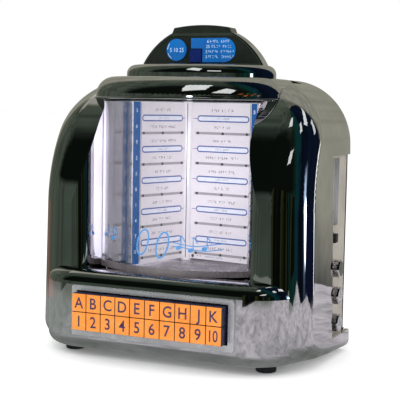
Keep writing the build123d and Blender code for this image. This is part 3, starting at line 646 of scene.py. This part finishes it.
def tube(points, radius, sides=10):
    """Closed round bar through the points, in millimetres."""
    mesh = bmesh.new()
    rings = []
    for i, point in enumerate(points):
        before, after = points[max(i - 1, 0)], points[min(i + 1, len(points) - 1)]
        along = (Vector(after) - Vector(before)).normalized()
        across = along.cross(Vector((0, 0, 1))).normalized()
        up = across.cross(along)
        rings.append([mesh.verts.new((Vector(point) + across * radius * math.cos(t)
                                      + up * radius * math.sin(t)) * MM)
                      for t in (math.tau * k / sides for k in range(sides))])
    for ring_a, ring_b in zip(rings, rings[1:]):
        for k in range(sides):
            mesh.faces.new((ring_a[k], ring_a[(k + 1) % sides],
                            ring_b[(k + 1) % sides], ring_b[k]))
    mesh.faces.new(rings[0])
    mesh.faces.new(rings[-1][::-1])
    bmesh.ops.recalc_face_normals(mesh, faces=mesh.faces)
    made = bpy.data.meshes.new("tube")
    for face in mesh.faces:
        face.smooth = len(face.verts) == 4
    mesh.to_mesh(made)
    mesh.free()
    return made


VISOR_HALF, VISOR_DEEP = 100.0, 60.0
rim = [(VISOR_HALF * math.cos(t), OVAL_Y + VISOR_DEEP * math.sin(t), 257.4)
       for t in (math.radians(180 + 2 * i) for i in range(1, 90))]
add_piece("visor_rim_bead", tube(rim, 1.3), CHROME, "housing")


# Side panel, dial and knob details --------------------------------------------------

def side_plane(x):
    """Surface facing right; a is the Y position."""
    return lambda a, z, h: (x + h, a, z)


low, high = (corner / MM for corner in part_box("dial_scale"))
dial = Layer(side_plane(high.x), 0.08)
DIAL_LOW, DIAL_HIGH = 135.0, 199.0
for row, (numbers, at) in enumerate((((88, 92, 96, 100, 104, 108), 48.0),
                                     ((54, 70, 90, 110, 140, 160), 59.5))):
    for i, number in enumerate(numbers):
        z = DIAL_LOW + 3 + (DIAL_HIGH - DIAL_LOW - 6) * i / (len(numbers) - 1)
        set_type(dial, str(number), at, z, 2.0, 0.01, 0.9)
for i in range(31):
    z = DIAL_LOW + 3 + (DIAL_HIGH - DIAL_LOW - 6) * i / 30
    dial.box(52.4 - (1.2 if i % 6 == 0 else 0.4), 53, z - 0.15, z + 0.15)
dial.box(53.2, 54.0, DIAL_LOW, DIAL_HIGH)
dial.piece("dial_print", DOT_INK, "scale_white")

panel_print = Layer(side_plane(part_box("side_panel")[1].x / MM), 0.05)
rng = random.Random(6)
knobs = {name: sum(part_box(name), Vector()) / 2 / MM
         for name in ("tuning_knob", "volume_knob", "tone_knob")}
for name, middle in knobs.items():
    glyph_marks(panel_print, middle.y, middle.z + 13.2, 5, 2.0, rng, 1)
panel_print.piece("panel_print", ink("panel_red_ink", (148, 96, 92)), "panel_satin")

for name, middle in knobs.items():
    face_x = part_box(name)[1].x / MM
    mark = Layer(lambda a, z, h, m=middle, x=face_x: (x + h, m.y + a, m.z + z), 0.05)
    mark.box(-0.5, 0.5, 3.0, 6.8)
    ring_out = [(2.6 * math.cos(t), 2.6 * math.sin(t))
                for t in (math.tau * i / 24 for i in range(24))]
    ring_in = [(a * 0.8, z * 0.8) for a, z in ring_out]
    mark.strip(ring_out, ring_in)
    mark.piece(f"{name}_mark", DOT_INK, "switch_black", name)


# Stage: floor, soft light, and the room that the plating mirrors ----------------------

MIDDLE = Vector((0, 0, 0.16))
ROOM_REACH, CARD_REACH = 12.0, 10.0
FLOOR_HALF, FLOOR_DROP = 30, 0.0006
FIGURE_Y, FIGURE_X, FIGURE_HIGH = -0.44, (0.04, 0.9), 0.27


def toward(azimuth, elevation):
    """Unit direction; azimuth 0 is straight in front and 90 is to the right."""
    a, e = math.radians(azimuth), math.radians(elevation)
    return Vector((math.sin(a) * math.cos(e), -math.cos(a) * math.cos(e), math.sin(e)))


def only_for(made, receivers, blockers=None):
    """Limits a light or a glowing card to the named pieces."""
    groups = {"receiver_collection": receivers, "blocker_collection": blockers}
    for setting, names in groups.items():
        if names:
            group = bpy.data.collections.new(f"{made.name}_{setting}")
            for name in names:
                group.objects.link(bpy.data.objects[name])
            setattr(made.light_linking, setting, group)


def stage_mesh(name, bm, material, mirrored_only=True):
    mesh = bpy.data.meshes.new(name)
    bm.to_mesh(mesh)
    bm.free()
    made = bpy.data.objects.new(name, mesh)
    scene.collection.objects.link(made)
    mesh.materials.append(material)
    if mirrored_only:
        made.visible_camera = made.visible_diffuse = False
        made.visible_transmission = made.visible_shadow = False
    return made


def floor_material():
    n = Nodes("floor_pale")
    tone = n.mix(n.remap(n.noise(3, 4), 0.3, 0.7), rgb(252, 252, 252), rgb(249, 249, 250))
    return n.finish(n.principled(Base_Color=tone, Roughness=0.9,
                                 Emission_Color=tone, Emission_Strength=0.14))


bm = bmesh.new()
bm.faces.new([bm.verts.new((x * FLOOR_HALF, y * FLOOR_HALF, -FLOOR_DROP))
              for x, y in ((-1, -1), (1, -1), (1, 1), (-1, 1))])
floor = stage_mesh("floor", bm, floor_material(), mirrored_only=False)
floor.visible_glossy = False


def cloth_material():
    """Pale cloth seen only in reflections, glowing with painted light: soft folds and creases
    painted as shade, a greener left side, a painted shadow round the object's foot, and darker
    towards its far front edge.
    """
    n = Nodes("cloth_glow_painted_shade")
    # Soft folds and fine creases: painted shade on a flat glowing sheet.
    folds = n.remap(n.noise(9, 5, 0.55, 1.5), 0.35, 0.7)
    fine = n.remap(n.noise(38, 4, 0.6, 0.8), 0.48, 0.74, 0.0, 0.6)
    tone = n.mix(folds, rgb(214, 208, 213), rgb(168, 164, 168))
    tone = n.mix(fine, tone, rgb(112, 116, 104))
    left = n.remap(n.axis("X"), 0.05, -0.3)
    tone = n.mix(n.maths("MULTIPLY", left, 0.75), tone, rgb(128, 138, 126))
    # Painted shadow round the object's foot.
    spread = n.node("ShaderNodeVectorMath", {0: n.place((6.2, 9.0, 0))}, operation="LENGTH")
    shade = n.remap(spread.outputs["Value"], 0.95, 1.7, 0.75, 0.0)
    tone = n.mix(shade, tone, rgb(96, 102, 94))
    # Darker towards the far front edge.
    far = n.node("ShaderNodeVectorMath", {0: n.place((1, 1, 0))}, operation="LENGTH")
    far = n.maths("MULTIPLY", n.remap(far.outputs["Value"], 0.42, 0.54),
                  n.remap(n.axis("Y"), -0.2, -0.34))
    tone = n.mix(far, tone, rgb(120, 126, 116))
    return n.finish(n.node("ShaderNodeEmission", {"Color": tone}).outputs[0])


CLOTH_EDGE = ((-180, 0.44), (-120, 0.42), (-80, 0.42), (-40, 0.58), (0, 0.62), (32, 0.6),
              (50, 0.68), (60, 0.56), (72, 0.8), (84, 0.6), (104, 0.66), (124, 0.42),
              (146, 0.66), (156, 0.4), (180, 0.44))
bm = bmesh.new()
edge = []
for (azimuth, reach), (next_azimuth, next_reach) in zip(CLOTH_EDGE, CLOTH_EDGE[1:]):
    for step in range(6):
        share = step / 6
        turn = azimuth + (next_azimuth - azimuth) * share
        out = reach + (next_reach - reach) * share + 0.012 * math.sin(turn * 0.9)
        edge.append(bm.verts.new(toward(turn, 0) * out))
bm.faces.new(edge)
stage_mesh("cloth_patch", bm, cloth_material())


WALL_TONES = (
    (-180, (118, 116, 102)), (-125, (104, 108, 94)), (-92, (88, 96, 82)),
    (-68, (78, 87, 76)), (-40, (74, 84, 73)), (-10, (70, 80, 70)), (30, (62, 71, 62)),
    (46, (24, 34, 28)), (60, (14, 56, 48)), (72, (16, 54, 62)),
    (82, (9, 14, 24)), (104, (13, 24, 42)), (142, (14, 22, 38)), (154, (112, 108, 98)),
    (180, (118, 116, 102)),
)


def room_material():
    """Dim room by direction: dark in front, green to the left, a pale screen behind."""
    n = Nodes("room_glow")
    x, y, z = (n.axis(letter) for letter in "XYZ")
    turn = n.maths("DIVIDE", n.maths("ARCTAN2", x, n.maths("MULTIPLY", y, -1.0)), math.tau)
    drift = n.remap(n.noise(0.35, 3, 0.5), 0.3, 0.7, -0.008, 0.008)
    ramp = n.node("ShaderNodeValToRGB", {0: n.maths("ADD", n.maths("ADD", turn, 0.5), drift)})
    stops = ramp.color_ramp.elements
    while len(stops) < len(WALL_TONES):
        stops.new(0.5)
    for stop, (azimuth, tone) in zip(stops, WALL_TONES):
        stop.position, stop.color = azimuth / 360 + 0.5, rgb(*tone)
    streak = n.remap(n.noise(0.9, 3, 0.5, 0.0, n.place((1, 1, 0.15))), 0.35, 0.7, 0.0, 0.45)
    wall = n.mix(streak, ramp.outputs[0], rgb(8, 10, 8))
    high = n.maths("MULTIPLY", n.remap(z, 0.13 * ROOM_REACH, 0.22 * ROOM_REACH),
                   n.remap(y, -0.3 * ROOM_REACH, -0.6 * ROOM_REACH))
    wall = n.mix(high, wall, rgb(12, 17, 13))
    low = n.maths("MULTIPLY", n.remap(z, -0.015 * ROOM_REACH, -0.035 * ROOM_REACH),
                  n.remap(x, 0.24 * ROOM_REACH, 0.32 * ROOM_REACH))
    low = n.maths("MULTIPLY", low, n.remap(y, 0.2 * ROOM_REACH, 0.4 * ROOM_REACH))
    wall = n.mix(low, wall, rgb(13, 20, 40))
    ground = n.maths("MULTIPLY", n.remap(z, -0.14 * ROOM_REACH, -0.17 * ROOM_REACH),
                     n.remap(y, -0.5 * ROOM_REACH, -0.35 * ROOM_REACH))
    wall = n.mix(ground, wall, rgb(150, 148, 142))
    facing = toward(-167, 30)
    screen = n.maths("MULTIPLY", x, facing.x / ROOM_REACH)
    screen = n.maths("ADD", screen, n.maths("MULTIPLY", y, facing.y / ROOM_REACH))
    screen = n.maths("ADD", screen, n.maths("MULTIPLY", z, facing.z / ROOM_REACH))
    pale = n.mix(n.remap(n.noise(0.5, 3), 0.3, 0.7), rgb(162, 160, 146), rgb(140, 140, 126))
    tone = n.mix(n.remap(screen, 0.63, 0.71), wall, pale)
    return n.finish(n.node("ShaderNodeEmission", {"Color": tone}).outputs[0])


bm = bmesh.new()
bmesh.ops.create_icosphere(bm, subdivisions=5, radius=ROOM_REACH)
stage_mesh("room_shell", bm, room_material())


def card(name, corners, tone, strength=1.0, soft=0.03, only=(), spot=False):
    """Glowing four-cornered card seen only in reflections. Corners are azimuth and
    elevation pairs, anticlockwise from the lower left; soft is the faded share of it,
    and a spot fades from its middle outwards instead."""
    bm = bmesh.new()
    face = bm.faces.new([bm.verts.new(toward(*corner) * CARD_REACH + MIDDLE)
                         for corner in corners])
    across = bm.loops.layers.uv.new("across")
    for loop, place in zip(face.loops, ((0, 0), (1, 0), (1, 1), (0, 1))):
        loop[across].uv = place
    n = Nodes(name + "_glow")
    u, v = (n.maths("SUBTRACT", n.axis(letter, n.coords.outputs["UV"]), 0.5)
            for letter in "XY")
    if spot:
        away = n.maths("ADD", n.maths("MULTIPLY", u, u), n.maths("MULTIPLY", v, v))
        mask = n.remap(away, 0.25, 0.0)
    else:
        u, v = (n.remap(n.maths("ABSOLUTE", part), 0.5, 0.5 - soft) for part in (u, v))
        mask = n.maths("MULTIPLY", u, v)
    uneven = n.remap(n.noise(0.8, 3), 0.3, 0.7, strength, strength * 0.88)
    glow = n.node("ShaderNodeEmission", {
        "Color": rgb(*tone), "Strength": n.maths("MULTIPLY", uneven, mask)}).outputs[0]
    clear_part = n.node("ShaderNodeBsdfTransparent").outputs[0]
    made = stage_mesh(name, bm, n.finish(
        n.node("ShaderNodeAddShader", {0: clear_part, 1: glow}).outputs[0]))
    only_for(made, only)


def patch(azimuth, elevation, width, height, lean=0.0):
    """Corners of a card centred on a direction, its top shifted sideways by lean."""
    return ((azimuth - width / 2 - lean, elevation - height / 2),
            (azimuth + width / 2 - lean, elevation - height / 2),
            (azimuth + width / 2 + lean, elevation + height / 2),
            (azimuth - width / 2 + lean, elevation + height / 2))


def figure_material():
    """Dark upright shape seen only in reflections, glowing faintly with olive and teal streaks.
    """
    n = Nodes("figure_glow_streaks")
    streaks = n.noise(9, 3, 0.5, 0.0, n.place((1, 1, 0.04)))
    tone = n.mix(n.remap(streaks, 0.5, 0.62), rgb(8, 10, 8), rgb(40, 46, 24))
    tone = n.mix(n.remap(streaks, 0.42, 0.34), tone, rgb(12, 44, 42))
    return n.finish(n.node("ShaderNodeEmission", {"Color": tone}).outputs[0])


bm = bmesh.new()
bm.faces.new([bm.verts.new((FIGURE_X[i], FIGURE_Y, z))
              for i, z in ((0, 0), (1, 0), (1, FIGURE_HIGH), (0, FIGURE_HIGH))])
stage_mesh("dark_figure", bm, figure_material())

WINDOW = (252, 254, 250)
BROW, STEP, SHELL = ["visor_lower"], ["visor_upper"], ["front_shell"]
for name, corners, strength, soft, only in (
    ("brow_window_left", ((-13, 25), (7, 36), (10, 66), (-25, 61)), 1.0, 0.04, BROW),
    ("brow_window_right", ((13, 19), (33, 17), (42, 37), (29, 47)), 1.0, 0.04, BROW),
    ("step_window_left", ((-22, 36), (-3, 23), (-5, 51), (-30, 62)), 1.0, 0.04, STEP),
    ("step_window_right", patch(14, 25, 17, 11), 1.0, 0.04, STEP),
    ("shoulder_window_left", ((97, 49), (106, 41), (129, 55), (138, 62)), 1.0, 0.04, SHELL),
    ("shoulder_window_right", patch(127, 29, 9, 18), 0.85, 0.08, SHELL),
    ("plinth_shard_front", patch(41, 69, 22, 12, 8), 0.9, 0.08, SHELL),
    ("plinth_shard_low", patch(43, 34, 12, 10, 5), 0.9, 0.08, SHELL),
    ("plinth_shard_side", patch(83, 50, 11, 14, 4), 0.9, 0.08, SHELL),
    ("jamb_line", patch(150, -5, 5, 24), 1.6, 0.3, SHELL),
):
    card(name, corners, WINDOW, strength, soft, only)
card("side_streak", patch(100, 3, 12, 26), (196, 222, 255), 1.3, 0.45, SHELL)
card("left_red_box", ((-122, -12), (-99, -12), (-99, -4), (-122, -4)), (104, 26, 32), 0.8,
     0.1, SHELL)
card("plinth_rim_upper", ((-128, 47), (-80, 47), (-80, 66), (-128, 66)), (158, 152, 144), 1.0,
     0.15, SHELL)
card("lens_glare", ((-5.8, -5.4), (-4.4, -5.4), (-2.2, 0.4), (-8.0, 0.4)), (236, 240, 255),
     9.0, 0.3, ["window_lens"])
for name, azimuth, elevation, size, strength, only in (
    ("side_glint", 103, -2.4, 10, 12.0, SHELL), ("brow_glint", -4.6, 0.5, 6, 6.0, BROW),
    ("step_glint", 71, 2, 7, 4.0, STEP),
):
    card(name, patch(azimuth, elevation, size, size), (242, 246, 255), strength, 0.5, only,
         spot=True)
for i, (azimuth, elevation, size, tone) in enumerate((
    (45, 15, 9, (150, 74, 34)), (52, 9, 7, (190, 92, 38)), (56, 18, 8, (60, 84, 34)),
    (62, 11, 9, (128, 58, 30)), (67, 17, 7, (104, 100, 40)), (73, 9, 8, (168, 96, 52)),
    (48, 21, 6, (84, 60, 38)), (60, 5, 6, (36, 74, 52)),
)):
    card(f"brow_fleck_{i + 1}", patch(azimuth, elevation, size, size * 0.8, 1.5), tone, 1.2,
         0.5, BROW, spot=True)


def soft_light(name, place, aim, size, power, tone=(1, 1, 1)):
    light = bpy.data.lights.new(name, "AREA")
    light.shape, light.size, light.energy, light.color = "DISK", size, power, tone
    made = bpy.data.objects.new(name, light)
    scene.collection.objects.link(made)
    made.location = place
    made.rotation_mode = "QUATERNION"
    made.rotation_quaternion = (Vector(aim) - Vector(place)).to_track_quat("-Z", "Y")
    made.visible_glossy = False
    return made


CAMERA_AT = Vector((0.4573, -0.9843, 0.2487))
soft_light("key_light", (0.2, -1.2, 1.1), MIDDLE, 1.0, 8)
soft_light("fill_light", (-1.3, -0.6, 0.9), MIDDLE, 1.0, 6)
soft_light("side_light", (1.6, 0.2, 0.9), MIDDLE, 1.0, 6)
leaves = ["page_left", "page_right", "leaves_left", "leaves_right", "page_spine"]
prints = [piece.name for piece in bpy.data.objects
          if piece.name.startswith(("page_", "leaf_")) and piece.name not in leaves]
only_for(soft_light("page_light", (0.5, -0.88, 0.35), MIDDLE, 0.5, 11), leaves + prints,
         ["page_backing"])

behind = ["leaves_left"] + [name for name in prints if name.startswith("leaf_")]
only_for(soft_light("leaf_light", (0.45, -0.9, 0.3), MIDDLE, 0.5, 15), behind,
         ["page_backing"])

world = bpy.data.worlds.new("pale_studio")
scene.world = world
world.use_nodes = True
world.node_tree.nodes["Background"].inputs["Color"].default_value = (1.0, 1.0, 1.0, 1.0)
world.node_tree.nodes["Background"].inputs["Strength"].default_value = 1.0
world.cycles_visibility.glossy = False
scene.view_settings.view_transform = "Standard"


# Camera -------------------------------------------------------------------------------

AZIMUTH, ELEVATION, ROLL = (math.radians(value) for value in (24.26, 4.91, 1.06))
back = Vector((math.sin(AZIMUTH) * math.cos(ELEVATION), -math.cos(AZIMUTH) * math.cos(ELEVATION),
               math.sin(ELEVATION)))
right = Vector((math.cos(AZIMUTH), math.sin(AZIMUTH), 0))
up = back.cross(right)
turned_right = right * math.cos(ROLL) + up * math.sin(ROLL)
turned_up = up * math.cos(ROLL) - right * math.sin(ROLL)
camera = bpy.data.objects.new("camera", bpy.data.cameras.new("camera"))
scene.collection.objects.link(camera)
camera.data.lens, camera.data.sensor_width = 96.5, 36.0
camera.data.clip_start, camera.data.clip_end = 0.05, 60.0
camera.matrix_world = Matrix((
    (turned_right.x, turned_up.x, back.x, CAMERA_AT.x),
    (turned_right.y, turned_up.y, back.y, CAMERA_AT.y),
    (turned_right.z, turned_up.z, back.z, CAMERA_AT.z),
    (0, 0, 0, 1)))
scene.camera = camera
